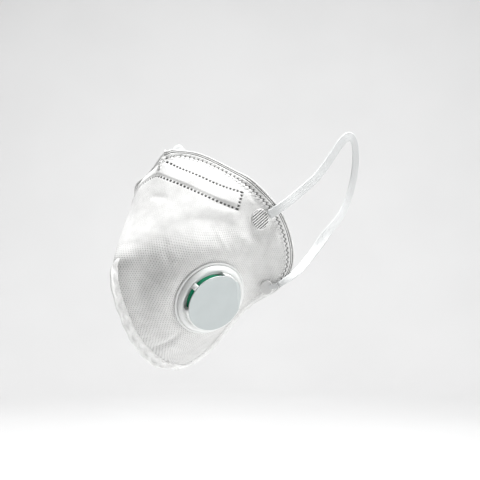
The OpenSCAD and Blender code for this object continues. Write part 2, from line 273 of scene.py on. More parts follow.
def seat_share(u, p):
    """How far the surface is flattened under the valve, from 0 to 1."""
    share = (from_axis(p) - SEAT_FLAT_R) / (SEAT_BLEND_R - SEAT_FLAT_R)
    return np.where(u > 0, 1 - ease(share), 0.0)


def skin(u, t, d):
    """Point of a sheet at height d over the outer surface."""
    u, t, d = np.broadcast_arrays(u, t, d)
    p = form(u, t)
    w, d = seat_share(u, p)[..., None], d[..., None]
    off = ((p - SEAT_C) @ SEAT_DIR)[..., None]
    return p + (1 - w) * d * outward(u, t) + w * (d - off) * SEAT_DIR


def skin_out(u, t):
    """Outward direction of a sheet, with the flat seat."""
    return outward(u, t, lambda a, b: skin(a, b, 0))


def reach(t):
    """Length of one half of the mask from the ridge to the edge, in mm."""
    a, b, c = along(RIDGE, t), along(RIB, t), along(EDGE, t)
    return np.linalg.norm(b - a, axis=-1) + np.linalg.norm(c - b, axis=-1)


def hem_start(t):
    """u of the hem's inner side."""
    return 1 - HEM_W / reach(t)


def from_hem(u, t):
    """Distance from the hem's inner side towards the ridge, in mm, and 0 on the hem."""
    return np.maximum((hem_start(t) - np.abs(u)) * reach(t), 0)


def length_along(line):
    """Distance in mm from a line's first point to each of its points."""
    return np.concatenate([[0], np.cumsum(np.linalg.norm(np.diff(line, axis=0), axis=1))])


SEAT_Y = unit(np.array([0, 0, 1.0]) - SEAT_DIR[2] * SEAT_DIR)
SEAT_X = np.cross(SEAT_Y, SEAT_DIR)


def seat_place(p):
    """Valve coordinates to the mask's, in mm."""
    p = np.asarray(p, float)
    return SEAT_C + p[..., 0:1] * SEAT_X + p[..., 1:2] * SEAT_Y + p[..., 2:3] * SEAT_DIR


# --- folds, puckers and welds in the soft surface ---

# Each fold: points as (u, t), half width in mm, height in mm (minus is a valley).
FOLDS = [
    ([(0.62, 3.0), (0.8, 3.75)], 2.2, -0.7),
    ([(0.02, 2.03), (0.16, 2.17), (0.3, 2.4)], 2.4, -0.4),
    ([(0.9, 3.3), (0.94, 3.97)], 1.8, -0.6),
    ([(0.6, 4.0), (0.62, 4.83), (0.67, 5.8)], 1.5, 0.22),
    ([(0.3, 3.9), (0.3, 4.97), (0.3, 5.95)], 2.0, -0.2),
    ([(0.4, 7.95), (0.32, 8.03), (0.24, 8.3), (0.18, 8.43), (0.02, 8.63)], 1.8, -0.75),
    ([(0.4, 8.15), (0.28, 8.5), (0.1, 8.9)], 3.5, 0.6),
    ([(-0.02, 7.57), (0.12, 7.57)], 1.3, -0.45),
    ([(-0.02, 8.1), (0.12, 8.1)], 1.3, -0.45),
    ([(0.3, 6.0), (0.3, 7.0)], 5, 0.7),
    ([(0.88, 4.77), (0.82, 5.57)], 1.8, -0.35),
]


def groove(x, centre, half):
    """Smooth bump from 1 at its centre down to 0 at about twice its half width."""
    return np.exp(-((x - centre) / half) ** 2)


def line_distance(p, line):
    """Distance in mm from points p to a polyline, and the part of the way along it."""
    best, where = np.full(p.shape[:-1], 1e9), np.zeros(p.shape[:-1])
    for k in range(len(line) - 1):
        a, b = line[k], line[k + 1]
        f = np.clip(((p - a) @ (b - a)) / max((b - a) @ (b - a), 1e-9), 0, 1)
        d = np.linalg.norm(p - a - f[..., None] * (b - a), axis=-1)
        where = np.where(d < best, (k + f) / (len(line) - 1), where)
        best = np.minimum(best, d)
    return best, where


def waves(p, seed, pitch, count=7):
    """Smooth random undulation between about -1 and 1, with its shortest wave near pitch."""
    rng = np.random.default_rng(seed)
    total = np.zeros(p.shape[:-1])
    for _ in range(count):
        direction = unit(rng.normal(size=3))
        total += np.sin(TURN * (p @ direction) / (pitch * rng.uniform(1, 2.2))
                        + rng.uniform(0, TURN))
    return total / count * 1.6


# Where the bulge over the cheek turns down into the lower half, and how far it reaches.
SHOULDER = [(-0.5, 4.3), (-0.05, 4.6), (0.1, 4.15), (0.2, 3.75), (0.3, 3.55), (0.46, 3.6),
            (0.62, 3.75), (0.74, 4.0), (0.9, 4.3)]
SHOULDER_HIGH, SHOULDER_REACH, SHOULDER_ROUND = 2.6, 22.0, 2.5
WELD_FLAT_R, WELD_BLEND = 7.5, 11


def shoulder(p, u):
    """Bulge along the shoulder, in mm, that leaves the loops' welds flat."""
    dist, _ = line_distance(p, form(*np.array(SHOULDER).T))
    soft = np.sqrt(dist ** 2 + SHOULDER_ROUND ** 2) - SHOULDER_ROUND
    d = SHOULDER_HIGH * ease(1.0 - soft / SHOULDER_REACH) * (0.3 + 0.7 * ease(u / 0.3))
    for side in (-1, 1):
        away = np.linalg.norm(p - form(side * UPPER_PATCH[0], UPPER_PATCH[1]), axis=-1)
        d = d * ease((away - WELD_FLAT_R) / WELD_BLEND)
    return d


def far_dent(u, t, hem_share):
    """Dent beside the nose on the right, where the hem lies flat on the cheek, in mm.

    hem_share runs from 0 at the edge to 1 at the inner side of the hem.
    """
    span = ease((t - 0.5) / 0.7) * ease((3.3 - t) / 0.9) * (u < 0)
    return -span * (4.2 * hem_share - 1.2) * groove(from_hem(u, t), 0, 8)


def macro(u, t):
    """Folds and softness that all the layers share, in mm."""
    p = form(u, t)
    lively = 0.4 + 0.6 * ease((t - 3.2) / 1.2)
    d = lively * (0.2 * waves(p, 3, 13) + 0.1 * waves(p, 5, 6)) + shoulder(p, u)
    for points, half, height in FOLDS:
        line = form(*np.array(points, float).T)
        dist, where = line_distance(p, line)
        ends = ease(where / 0.25) * ease((1 - where) / 0.25)
        d = d + height * groove(dist, 0, half) * (0.25 + 0.75 * ends)
    off_valve = np.where(u > 0, ease((from_axis(p) - 24.5) / 5), 1)
    return d * off_valve * ease(from_hem(u, t) / 5) + far_dent(u, t, 1.0)


# Stations past this one are too far from the nose wire to matter.
NOSE_T1 = 5.2


def wire_t(u):
    """Station of the nose wire's middle line."""
    return 0.93 + 3.6 * u * u


def nose_frame(u, t):
    """Place over the nose wire: mm along it from the ridge and mm across it, 99 if far."""
    line_u = np.linspace(-0.9, 0.9, 121)
    line = form(line_u, wire_t(line_u))
    length = length_along(line)
    length = length - np.interp(0, line_u, length)
    start, seg, seg_length = line[None, :-1, :], np.diff(line, axis=0), np.diff(length)
    p = form(u, t)
    flat = p.reshape(-1, 3)
    run, side = np.zeros(len(flat)), np.full(len(flat), 99.0)
    for part in np.array_split(np.nonzero((t < NOSE_T1).reshape(-1))[0], 40):
        gap = flat[part][:, None, :] - start
        f = np.clip((gap * seg).sum(-1) / (seg * seg).sum(-1), 0, 1)
        dist = np.linalg.norm(gap - f[..., None] * seg, axis=-1)
        nearest, rows = dist.argmin(1), np.arange(len(part))
        run[part] = length[nearest] + f[rows, nearest] * seg_length[nearest]
        side[part] = dist[rows, nearest]
    below = np.sign(t - wire_t(u)).reshape(-1)
    return run.reshape(p.shape[:-1]), (side * below).reshape(p.shape[:-1])


# Rectangle of welds round the nose wire: half its width and length, pitch, dot size.
CLIP_HALF, CLIP_END = 5.6, 56.0
CLIP_PITCH, CLIP_DOT = 2.4, 1.3


def nose_welds(run, side):
    """1 in a dot of the rectangle of small square welds round the nose wire."""
    def square(a, b):
        return ease((CLIP_DOT / 2 + 0.12 - np.maximum(np.abs(a), np.abs(b))) / 0.24)

    def repeat(x, pitch):
        return (x + pitch / 2) % pitch - pitch / 2
    along_it, off = np.abs(run), np.abs(side)
    rows = square(repeat(along_it, CLIP_PITCH), off - CLIP_HALF) * (along_it < CLIP_END + 0.6)
    ends = (square(along_it - CLIP_END, repeat(side + CLIP_HALF, 2 * CLIP_HALF / 5))
            * (off < CLIP_HALF + 0.6))
    return np.maximum(rows, ends)


def micro(u, t, hem_run):
    """What only the cover shows: wire bulge, nose welds and puckers at the hem, in mm.

    Also gives the share of the nose welds' dots. hem_run is the length along the hem.
    """
    run, side = nose_frame(u, t)
    dots = nose_welds(run, side)
    inside = ease((CLIP_HALF - 0.7 - np.abs(side)) / 2.2) * ease((CLIP_END - np.abs(run)) / 3)
    valley = np.exp(-((side - CLIP_HALF + 1.2) / 0.8) ** 2) * (np.abs(run) < CLIP_END)
    d = 0.4 * inside - 0.1 * valley - 0.4 * dots
    gap = from_hem(u, t)
    puckers = np.cos(TURN * hem_run / TOOTH_PITCH)
    d = d + 0.35 * groove(gap, 0.9, 0.9) * puckers
    nose = ease((3.7 - t) / 0.8) * ease(t / 0.4) * groove(gap, 3.4, 1.5)
    return d + 0.45 * nose * waves(form(u, t), 9, 4), dots


# --- mesh helpers ---

# The material of each slot, filled by make_materials.
MATERIALS = {}


def new_object(name, points, faces):
    """Smooth mesh object in the scene, from points in metres."""
    mesh = bpy.data.meshes.new(name)
    mesh.from_pydata(points, [], faces)
    mesh.polygons.foreach_set("use_smooth", np.ones(len(mesh.polygons), bool))
    obj = bpy.data.objects.new(name, mesh)
    bpy.context.scene.collection.objects.link(obj)
    return obj


def mesh_piece(name, points, faces, uv=None, fields=None):
    """Object from points in mm, faces, per-point UV in mm and per-point fields."""
    co = (np.asarray(points, float).reshape(-1, 3) + NOSE_TOP) / 1000
    obj = new_object(name, co.tolist(), faces if isinstance(faces, list) else faces.tolist())
    mesh = obj.data
    if uv is not None:
        corner = np.zeros(len(mesh.loops), np.int32)
        mesh.loops.foreach_get("vertex_index", corner)
        spread = np.asarray(uv, np.float32).reshape(-1, 2)[corner]
        mesh.uv_layers.new(name="cloth").data.foreach_set("uv", spread.ravel())
    for key, values in (fields or {}).items():
        item = mesh.attributes.new(key, "FLOAT", "POINT")
        item.data.foreach_set("value", np.asarray(values, np.float32).ravel())
    mesh.update()
    return obj


def grid_faces(rows, cols, wrap_rows=False, wrap_cols=False):
    """Faces of a grid of points that may close on itself either way."""
    i = np.arange(rows if wrap_rows else rows - 1)
    j = np.arange(cols if wrap_cols else cols - 1)
    i, j = [a.ravel() for a in np.meshgrid(i, j, indexing="ij")]
    i1, j1 = (i + 1) % rows, (j + 1) % cols
    return np.stack([i * cols + j, i1 * cols + j, i1 * cols + j1, i * cols + j1], -1)


def tube_faces(rows, cols):
    """Faces of a tube with closed ends."""
    ends = [list(range(cols)), [(rows - 1) * cols + j for j in reversed(range(cols))]]
    return grid_faces(rows, cols, wrap_cols=True).tolist() + ends


def disc_faces(rings, steps):
    """Faces of a disc: point 0 in the middle, then rings of points outwards."""
    faces = [(0, 1 + j, 1 + (j + 1) % steps) for j in range(steps)]
    for i in range(rings - 1):
        a, b = 1 + i * steps, 1 + (i + 1) * steps
        faces += [(a + j, b + j, b + (j + 1) % steps, a + (j + 1) % steps)
                  for j in range(steps)]
    return faces


def finish_piece(obj, slot, *nodes, body="root", sharp=None):
    """Material, body, slot and the CAD nodes that a piece stands for."""
    obj.data.materials.append(MATERIALS[slot])
    if sharp is not None:
        obj.data.shade_smooth()
        obj.modifiers.new("edges", "EDGE_SPLIT").split_angle = math.radians(sharp)
    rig.ride(obj, body)
    if nodes:
        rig.replaces(obj, *nodes)
    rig.slot(obj, slot)
    return obj


# --- materials ---

MARK_COVER, MARK_WELD = (0.02, 0.02, 0.02), (0.03, 0.03, 0.03)


class Shade:
    """Small helper that builds one material's nodes."""

    def __init__(self, name, rough, sheen=0.0, metallic=0.0, coat=0.0, specular=0.5):
        self.mat = bpy.data.materials.new(name)
        self.mat.use_nodes = True
        self.tree = self.mat.node_tree
        self.bsdf = self.tree.nodes["Principled BSDF"]
        for key, value in (("Roughness", rough), ("Sheen Weight", sheen), ("Metallic", metallic),
                           ("Coat Weight", coat), ("Specular IOR Level", specular)):
            self.bsdf.inputs[key].default_value = value

    def put(self, socket, value):
        """Link a socket to another node's output, or set its value."""
        if isinstance(value, bpy.types.NodeSocket):
            self.tree.links.new(value, socket)
        else:
            socket.default_value = value if socket.type != "RGBA" else (*value, 1)

    def new(self, kind, sockets, **settings):
        """Node with its settings and input sockets."""
        n = self.tree.nodes.new("ShaderNode" + kind)
        for key, value in settings.items():
            setattr(n, key, value)
        for key, value in sockets.items():
            self.put(n.inputs[key], value)
        return n

    def math(self, op, a, b=0.0):
        return self.new("Math", {0: a, 1: b}, operation=op).outputs[0]

    def add(self, a, b):
        return self.math("ADD", a, b)

    def times(self, a, b):
        return self.math("MULTIPLY", a, b)

    def attribute(self, name):
        return self.new("Attribute", {}, attribute_name=name).outputs["Fac"]

    def cloth(self):
        """Surface coordinates in mm along and across the web."""
        return self.new("UVMap", {}, uv_map="cloth").outputs[0]

    def position(self):
        """Rest position, in mm."""
        place = self.new("TexCoord", {}).outputs["Object"]
        return self.new("VectorMath", {0: place, "Scale": 1000}, operation="SCALE").outputs[0]

    def split(self, vector):
        return self.new("SeparateXYZ", {0: vector}).outputs

    def noise(self, vector, pitch, detail=2.0):
        return self.new("TexNoise", {"Vector": vector, "Scale": 1 / pitch, "Detail": detail,
                                     "Roughness": 0.55}).outputs["Fac"]

    def stretch(self, vector, x, y, z=1.0):
        return self.new("VectorMath", {0: vector, 1: (x, y, z)}, operation="MULTIPLY").outputs[0]

    def ramp(self, value, low, high, out_low=0.0, out_high=1.0):
        """Smooth step between low and high."""
        return self.new("MapRange", {"Value": value, "From Min": low, "From Max": high,
                                     "To Min": out_low, "To Max": out_high},
                        interpolation_type="SMOOTHSTEP").outputs[0]

    def blend(self, share, a, b):
        """Colour from a to b."""
        n = self.new("Mix", {"Factor": share}, data_type="RGBA")
        for socket, value in zip([s for s in n.inputs if s.type == "RGBA"], (a, b)):
            self.put(socket, value)
        return [s for s in n.outputs if s.type == "RGBA"][0]

    def lattice(self, vector, x_pitch, y_pitch, warp=0.48):
        """Staggered lattice of points, warped by up to warp mm: 1 on a point, -1 between."""
        wobble = self.noise(vector, 7, 1)
        xyz = self.split(vector)
        shift = self.times(self.math("SUBTRACT", wobble, 0.5), 2 * warp)
        x = self.times(self.add(xyz[0], shift), TURN / x_pitch)
        y = self.times(self.add(xyz[1], shift), math.pi / y_pitch)
        y = self.math("COSINE", y)
        y = self.times(y, self.times(y, y))
        return self.times(self.math("COSINE", x), y)

    def bump(self, height, distance):
        """Bump of the given height map, with its distance in metres."""
        n = self.new("Bump", {"Height": height, "Distance": distance})
        self.put(self.bsdf.inputs["Normal"], n.outputs[0])

    def colour(self, value):
        self.put(self.bsdf.inputs["Base Color"], value)
        return self.mat


def nonwoven(name, light, dark, x_pitch=1.5, y_pitch=1.3, dot=0.66, depth=0.3, fields=True):
    """Spun web with rows of point bonds, fine fibres and faint cloudiness."""
    s = Shade(name, 0.82, sheen=0.25, specular=0.3)
    web = s.cloth()
    bond = s.ramp(s.lattice(web, x_pitch, y_pitch), 0.1, 0.55)
    # The cover's field fades the dark bond dots and their dents; at the top of the cover this fading is a painted
    # highlight.
    if fields:
        bond = s.times(bond, s.attribute("bond"))
    fibre = s.noise(s.stretch(web, 1, 3.2), 0.45, 3)
    cloud = s.noise(web, 6, 2)
    shade = s.add(s.times(bond, dot), s.ramp(cloud, 0.3, 0.75, 0.0, 0.16))
    shade = s.add(shade, s.ramp(fibre, 0.3, 0.8, 0.0, 0.1))
    colour = s.blend(shade, light, dark)
    if fields:
        colour = s.blend(s.attribute("mark"), colour, MARK_COVER)
    s.bump(s.math("SUBTRACT", s.times(fibre, 0.35), bond), depth / 1000)
    return s.colour(colour)


def welded(name, light, dark):
    """Web pressed hard: smoother, with a fine grain."""
    s = Shade(name, 0.6, sheen=0.1, specular=0.4)
    web = s.cloth()
    grain = s.noise(web, 0.7, 3)
    cloud = s.noise(web, 5, 2)
    colour = s.blend(s.ramp(s.add(grain, cloud), 0.7, 1.35), light, dark)
    s.bump(grain, 0.00012)
    return s.colour(s.blend(s.attribute("mark"), colour, MARK_WELD))


def knitted(name, light, dark):
    """Flat knitted elastic: fine ribs along it and stitches across."""
    s = Shade(name, 0.75, sheen=0.3, specular=0.3)
    web = s.cloth()
    x, y, _ = s.split(web)
    rib = s.math("SINE", s.times(y, TURN / 0.75))
    stitch = s.math("SINE", s.add(s.times(x, TURN / 0.6), s.times(y, TURN / 1.5)))
    knit = s.add(rib, s.times(stitch, 0.6))
    fuzz = s.noise(web, 0.4, 3)
    shade = s.ramp(s.add(s.times(knit, -0.3), fuzz), -0.2, 1.5)
    s.bump(s.add(knit, fuzz), 0.00003)
    return s.colour(s.blend(shade, light, dark))


def moulded(name, base, shadow, rough=0.32):
    """Moulded plastic: faint texture, slight cloudiness."""
    s = Shade(name, rough, coat=0.15, specular=0.5)
    p = s.position()
    cloud = s.noise(p, 9, 2)
    s.bump(s.noise(p, 0.35, 2), 0.00002)
    return s.colour(s.blend(s.ramp(cloud, 0.3, 0.75, 0.0, 0.6), base, shadow))


def make_materials():
    """Makes the material of each slot."""
    slots = {
        "outer_nonwoven": (nonwoven, (0.83, 0.83, 0.82), (0.42, 0.42, 0.41)),
        "filter_media": (nonwoven, (0.88, 0.88, 0.87), (0.7, 0.7, 0.69), 0.9, 0.9, 0.1, 0.05,
                         False),
        "support_felt": (nonwoven, (0.85, 0.85, 0.83), (0.6, 0.6, 0.58), 3.1, 2.6, 0.3, 0.1,
                         False),
        "lining_nonwoven": (nonwoven, (0.85, 0.85, 0.85), (0.55, 0.55, 0.55), 1.5, 1.2, 0.35,
                            0.1, False),
        "welded_edge": (welded, (0.92, 0.92, 0.91), (0.78, 0.78, 0.77)),
        "loop_weld": (welded, (0.95, 0.95, 0.94), (0.88, 0.88, 0.87)),
        "elastic_band": (knitted, (0.75, 0.765, 0.765), (0.62, 0.63, 0.63)),
        "valve_plastic": (moulded, (0.85, 0.86, 0.85), (0.8, 0.81, 0.805)),
        "valve_cap_plastic": (moulded, (0.56, 0.605, 0.605), (0.53, 0.575, 0.575), 0.42),
        "flap_rubber": (rubber,),
        "nose_wire_metal": (metal,),
        "nose_foam": (foam,),
    }
    for slot, (maker, *looks) in slots.items():
        MATERIALS[slot] = maker(slot, *looks)


def rubber(name):
    """Green rubber of the flap, with a fine grain."""
    s = Shade(name, 0.4, specular=0.5)
    p = s.position()
    s.bump(s.noise(p, 0.3, 2), 0.00003)
    return s.colour(s.blend(s.ramp(s.noise(p, 4, 2), 0.3, 0.7), (0.015, 0.5, 0.25),
                            (0.01, 0.4, 0.2)))


def metal(name):
    """Bare metal with marks along the wire."""
    s = Shade(name, 0.35, metallic=1.0)
    grain = s.noise(s.stretch(s.position(), 1, 6, 6), 1.2, 3)
    s.bump(grain, 0.00003)
    return s.colour(s.blend(s.ramp(grain, 0.3, 0.7), (0.78, 0.78, 0.79), (0.6, 0.6, 0.62)))


def foam(name):
    """Open cells in grey and white."""
    s = Shade(name, 0.9, sheen=0.2, specular=0.2)
    cells = s.new("TexVoronoi", {"Vector": s.position(), "Scale": 1.6})
    cell = s.ramp(cells.outputs["Distance"], 0.1, 0.55)
    s.bump(cell, 0.0002)
    return s.colour(s.blend(cell, (0.5, 0.5, 0.5), (0.82, 0.82, 0.81)))


# --- camera, light and floor ---

CAMERA_AT, CAMERA_WAY, CAMERA_LENS = (0.4460, -0.5269, 0.0106), (-0.6157, 0.7880, 0.0), 79.3
FLOOR_LOW, FLOOR_R, BACKDROP_HIGH = -0.34, 3.2, 2.8
BACKDROP_TURN = math.atan2(0.788, -0.616)
# Each light: name, place, target, size in metres, power in watts.
LIGHTS = [
    ("key", (0.25, 0.18, 1.3), (0, 0, 0), 0.5, 34),
    ("side", (1.3, 0.2, 0.2), (0, 0, 0), 0.6, 7),
    ("backdrop", (-0.6, 0.9, 1.6), (-1.6, 2.0, 0.2), 1.0, 21),
    ("front", (-1.2, -0.4, 1.1), (0, 0, 0), 0.6, 14),
]


def aim(obj, place, way):
    """Put a camera or light in the scene, looking along way."""
    bpy.context.scene.collection.objects.link(obj)
    obj.location = place
    obj.rotation_mode = "QUATERNION"
    obj.rotation_quaternion = Vector(way).to_track_quat("-Z", "Y")


def make_camera():
    """Camera at the height of the mask, 38 degrees to the wearer's left."""
    data = bpy.data.cameras.new("camera")
    data.sensor_width = 36
    data.lens = CAMERA_LENS
    cam = bpy.data.objects.new("camera", data)
    aim(cam, CAMERA_AT, CAMERA_WAY)
    bpy.context.scene.camera = cam


def area_light(name, place, target, size, power):
    """Round soft light that points at its target."""
    data = bpy.data.lights.new(name, "AREA")
    data.shape, data.size, data.energy = "DISK", size, power
    light = bpy.data.objects.new(name, data)
    aim(light, place, Vector(target) - Vector(place))


def make_stage():
    """Pale floor that curves up into a backdrop behind the object."""
    rings, steps = 40, 96
    points = [(0, 0, FLOOR_LOW)]
    for i in range(1, rings + 1):
        share = i / rings
        rise = BACKDROP_HIGH * max(0, share - 0.55) ** 2 / 0.45 ** 2
        for a in np.linspace(0, TURN, steps, endpoint=False):
            behind = float(ease((math.cos(a - BACKDROP_TURN) + 0.1) / 0.7))
            r = FLOOR_R * share
            points.append((r * math.cos(a), r * math.sin(a), FLOOR_LOW + rise * behind))
    floor = new_object("floor", points, disc_faces(rings, steps))
    s = Shade("floor_paint", 0.9, specular=0.2)
    cloud = s.ramp(s.noise(s.position(), 300, 2), 0.3, 0.7)
    floor.data.materials.append(s.colour(s.blend(cloud, (0.8, 0.8, 0.8), (0.78, 0.78, 0.78))))
    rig.stage(floor)


def make_light():
    """Dim even world, and four soft lights."""
    world = bpy.data.worlds.new("studio")
    world.use_nodes = True
    background = world.node_tree.nodes["Background"]
    background.inputs[0].default_value = (0.97, 0.98, 1, 1)
    background.inputs[1].default_value = 0.04
    bpy.context.scene.world = world
    bpy.context.scene.view_settings.view_transform = "Standard"
    for light in LIGHTS:
        area_light(*light)


# --- ear loops ---

BAND_HALF, BAND_THICK, BAND_RIB = 3.0, 0.5, 0.06
# Points of the middle line for each gap of the route.
ROUTE_STEPS = 6
# The tab's start in mm from the route's last point, and its end under the weld, (u, t).
TAB_SHIFT, TAB_END = (-0.3, -0.5, -0.35), (0.918, 6.86)


def band_section():
    """Outline of the band across, with shallow ribs on both faces, in mm."""
    ys = np.linspace(-1, 1, 25)
    rib = BAND_RIB * np.cos(ys * math.pi * 5)
    edge = np.sqrt(np.clip(1 - np.abs(ys) ** 9, 0, 1))
    top = (BAND_THICK + rib - BAND_RIB) * edge
    upper = np.stack([ys * BAND_HALF, top], 1)
    lower = np.stack([ys * BAND_HALF, -top], 1)[::-1][1:-1]
    return np.concatenate([upper, lower])


def across_band(side, run):
    """The band's width direction where it runs along run, before any roll."""
    return unit(np.cross(np.array([0.96 * side, -0.28, 0.0]), run))


def band_piece(name, line, wide, flat, narrow, thin, *nodes, body="root"):
    """Band along a line, with its width and thickness scaled by narrow and thin."""
    section = band_section()
    points = (line[:, None, :] + narrow[:, None, None] * section[None, :, 0:1] * wide[:, None, :]
              + thin * section[None, :, 1:2] * flat[:, None, :])
    rows, cols = points.shape[:2]
    uv = np.stack([np.repeat(length_along(line), cols), np.tile(section[:, 0], rows)], 1)
    obj = mesh_piece(name, points, tube_faces(rows, cols), uv)
    return finish_piece(obj, "elastic_band", *nodes, body=body)


def make_loop(name, side):
    """Ear loop that rolls over at its lower end and narrows towards the weld."""
    gaps = len(LOOP_ROUTE) - 1
    t = np.linspace(0, gaps, gaps * ROUTE_STEPS + 1)
    centre, share = along(LOOP_ROUTE, t) * np.array([side, 1, 1]), t / gaps
    run = unit(np.gradient(centre, axis=0))
    wide = across_band(side, run)
    flat = np.cross(run, wide)
    end = ease((1.0 - share) / 0.08)
    roll = side * math.radians(58) * ease((share - 0.72) / 0.1) * (0.1 + 0.9 * end)
    c, s = np.cos(roll)[:, None], np.sin(roll)[:, None]
    wide, flat = c * wide + s * flat, c * flat - s * wide
    narrow = 1 - 0.38 * ease((share - 0.88) / 0.12)
    obj = band_piece(name, centre, wide, flat, narrow, 1.0,
                     name.replace("_band", ""), body="left_loop" if side > 0 else "right_loop")
    path = (centre + NOSE_TOP) / 1000
    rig.cord(obj, exit=path[0], length=float(length_along(centre)[-1] / 1000),
            diameter=2 * BAND_HALF / 1000, far_end="object", stiffness="limp", lay="taut",
            path=path.tolist())


def make_tab(name, side):
    """Cut end of the band, which runs from the loop to the lower weld."""
    f = np.linspace(0, 1, 27)[:, None]
    flip = np.array([side, 1, 1])
    u, t = TAB_END
    start = np.array(LOOP_ROUTE[-1]) + np.array(TAB_SHIFT)
    line = (start * (1 - f) + skin(u, t, 0.3) * f) * flip
    run = unit(np.gradient(line, axis=0))
    wide = across_band(side, run)
    roll = math.radians(6)
    rolled = math.cos(roll) * np.cross(run, wide) - side * math.sin(roll) * wide
    flat = unit(rolled * (1 - ease(f)) + skin_out(u, t) * flip * ease(f))
    wide = unit(np.cross(flat, run))
    narrow = (0.62 - 0.12 * ease(f))[:, 0]
    band_piece(name, line, wide, np.cross(run, wide), narrow, 0.8)


# --- sheets ---

def sheet_rows(fine, coarse):
    """Stations of a sheet's rows, fine mm apart over the nose and coarse mm below."""
    dense = np.linspace(SHEET_T0, SHEET_T1, 400)
    step = np.linalg.norm(np.diff(form(0.6, dense), axis=0), axis=1)
    weight = np.where(dense[:-1] < 4.4, 1 / fine, 1 / coarse)
    total = np.concatenate([[0], np.cumsum(step * weight)])
    return np.interp(np.linspace(0, total[-1], int(total[-1]) + 1), total, dense)


def sheet_grid(rows, cells):
    """u and t of a sheet's points, with so many cells from the ridge to the hem."""
    u = hem_start(rows)[:, None] * np.linspace(-1, 1, 2 * cells + 1)[None, :]
    return u, np.broadcast_to(rows[:, None], u.shape)


def cloth_uv(p, rows):
    """Nearly true-length coordinates in mm: round the mask, and down it."""
    mid = p.shape[1] // 2
    step = np.linalg.norm(np.diff(p, axis=1), axis=2)
    x = np.concatenate([np.zeros((len(p), 1)), np.cumsum(step, 1)], 1)
    x = x - x[:, mid:mid + 1]
    down = np.linalg.norm(np.diff(p, axis=0), axis=2)
    y = np.concatenate([np.zeros((1, p.shape[1])), np.cumsum(down, 0)], 0)
    k = int(np.argmin(np.abs(rows - 5.0)))
    y = y - y[k:k + 1, :] - p[k:k + 1, :, 2]
    return np.stack([x, y], -1)


def cut_hole(p, faces):
    """Drops the faces of a sheet that lie in the valve's hole."""
    flat = p.reshape(-1, 3)
    keep = ~((from_axis(flat) < HOLE_R) & (flat[:, 0] > 0))
    return faces[keep[faces].all(1)]


def edge_run(t):
    """Length of the hem's edge from the top of the nose down to station t, in mm."""
    dense = np.linspace(0, LAST, 500)
    return np.interp(t, dense, length_along(along(EDGE, dense)))


def make_cover():
    """Outer sheet with its relief, welds and bonds; the bonds' dark dots and dents fade at the top, which paints in
    the highlight of the brightly lit top, and fade at the side.
    """
    rows = sheet_rows(0.34, 0.62)
    u, t = sheet_grid(rows, 150)
    extra, dots = micro(u, t, edge_run(t))
    p = skin(u, t, macro(u, t) + extra)
    # low fades the bonds' dark dots and dents towards the top, a painted highlight for the brightly lit top; side
    # fades them towards the edges.
    low, side = ease((t - 3.8) / 1.1), ease((0.75 - np.abs(u)) / 0.35)
    obj = mesh_piece("outer_cover_skin", p, cut_hole(p, grid_faces(*u.shape)),
                     cloth_uv(form(u, t), rows),
                     {"mark": dots, "bond": (0.08 + 0.92 * low) * (0.45 + 0.55 * side)})
    return finish_piece(obj, "outer_nonwoven", "outer_cover")


def make_layer(name, node, slot, depth, cells, spacing):
    """Inner sheet at a depth in mm under the cover; the lining faces inwards."""
    rows = sheet_rows(spacing, spacing)
    u, t = sheet_grid(rows, cells)
    p = skin(u, t, depth + macro(u, t))
    faces = cut_hole(p, grid_faces(*u.shape))
    if node == "inner_lining":
        faces = faces[:, ::-1]
    obj = mesh_piece(name, p, faces, cloth_uv(form(u, t), rows))
    return finish_piece(obj, slot, node)


def declare_sheets(pieces):
    """Cut size and flat area of each sheet."""
    for obj in pieces:
        area = sum(f.area for f in obj.data.polygons)
        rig.sheet(obj, flat=SHEET_CUT, held="stretched", rests_on=["hem_band"],
                 area=min(round(area, 4), SHEET_CUT[0] * SHEET_CUT[1]))


# --- hem ---

# Distances in mm from the hem's outer edge to its two lines and its row of teeth.
LINE_A, LINE_B, TEETH = 1.4, 2.65, 4.7
HEM_LANES = np.concatenate([np.linspace(0, 0.5, 4), np.linspace(0.7, 3.0, 19),
                            np.linspace(3.3, 4.0, 4), np.linspace(4.15, 6.0, 15)])
# The hem's inner face: distances from the edge, and heights over the outer surface.
BACK_LANES = np.array([5.2, 4.5, 3.0, 1.5, 0.35, 0.0])
BACK_HEIGHTS = np.array([-3.6, -1.9, -1.3, -1.25, -1.15, -0.8])


def hem_stations(step=0.4):
    """(u, t) of the hem's outer edge and inner side all round, and mm along the edge."""
    side_t = np.linspace(SHEET_T0, SHEET_T1, 400)
    start = hem_start(side_t)
    low = np.linspace(1, -1, 61)[1:-1]
    high, one = -low, np.ones_like(side_t)
    chin_t = LAST - np.maximum(0.05, (LAST - SHEET_T1) * np.abs(low))
    nose_t = np.maximum(0.05, SHEET_T0 * np.abs(low))
    outer_u = np.concatenate([one, np.sign(low), -one, np.sign(high)])
    outer_t = np.concatenate([side_t, chin_t, side_t[::-1], nose_t])
    inner_u = np.concatenate([start, start[-1] * low, -start[::-1], start[0] * high])
    inner_t = np.concatenate([side_t, np.full_like(low, SHEET_T1), side_t[::-1],
                              np.full_like(low, SHEET_T0)])
    line = form(outer_u, outer_t)
    total = length_along(np.concatenate([line, line[:1]]))
    s = np.linspace(0, total[-1], int(total[-1] / step), endpoint=False)
    places = [np.interp(s, total, np.append(a, a[0]))
              for a in (outer_u, outer_t, inner_u, inner_t)]
    return np.stack(places[:2], 1), np.stack(places[2:], 1), s


def brim(t, share):
    """Lift of the hem's outer edge round the nose, in mm, and 0 at its inner side."""
    return 2.2 * ease(1 - share) * ease((3.9 - t) / 1.4)


